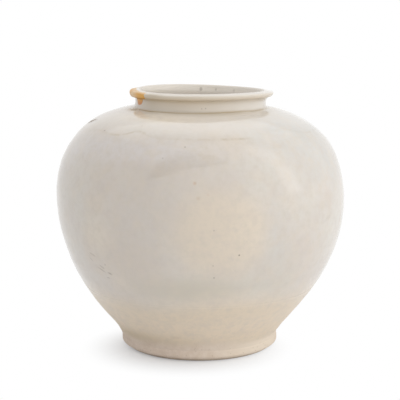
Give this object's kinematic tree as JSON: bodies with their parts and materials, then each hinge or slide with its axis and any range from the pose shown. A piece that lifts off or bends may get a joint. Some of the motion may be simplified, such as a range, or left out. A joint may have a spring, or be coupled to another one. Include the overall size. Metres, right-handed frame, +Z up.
{
  "type": "glazed jar",
  "caption": "Round, high-shouldered stoneware jar with a solid foot, a waisted neck, a rolled lip and a gold-lacquer mend in the lip; open at the top, for storing or display.",
  "frame": {"origin": "centre of the foot's flat underside, on the surface that the jar stands on", "axes": "+Z up along the axis that the jar was turned on; -Y towards the viewer; the lip mend lies towards -X, a little towards -Y"},
  "size_m": [0.23, 0.23, 0.2065],
  "materials": {
    "bare_clay": "matte",
    "white_glaze": "satin",
    "gold_lacquer": "satin"
  },
  "bodies": {
    "root": {"foot_slab": "bare_clay", "lower_wall": "white_glaze", "upper_wall": "white_glaze", "neck_and_lip": "white_glaze", "lip_mend": "gold_lacquer"}
  },
  "joints": []
}
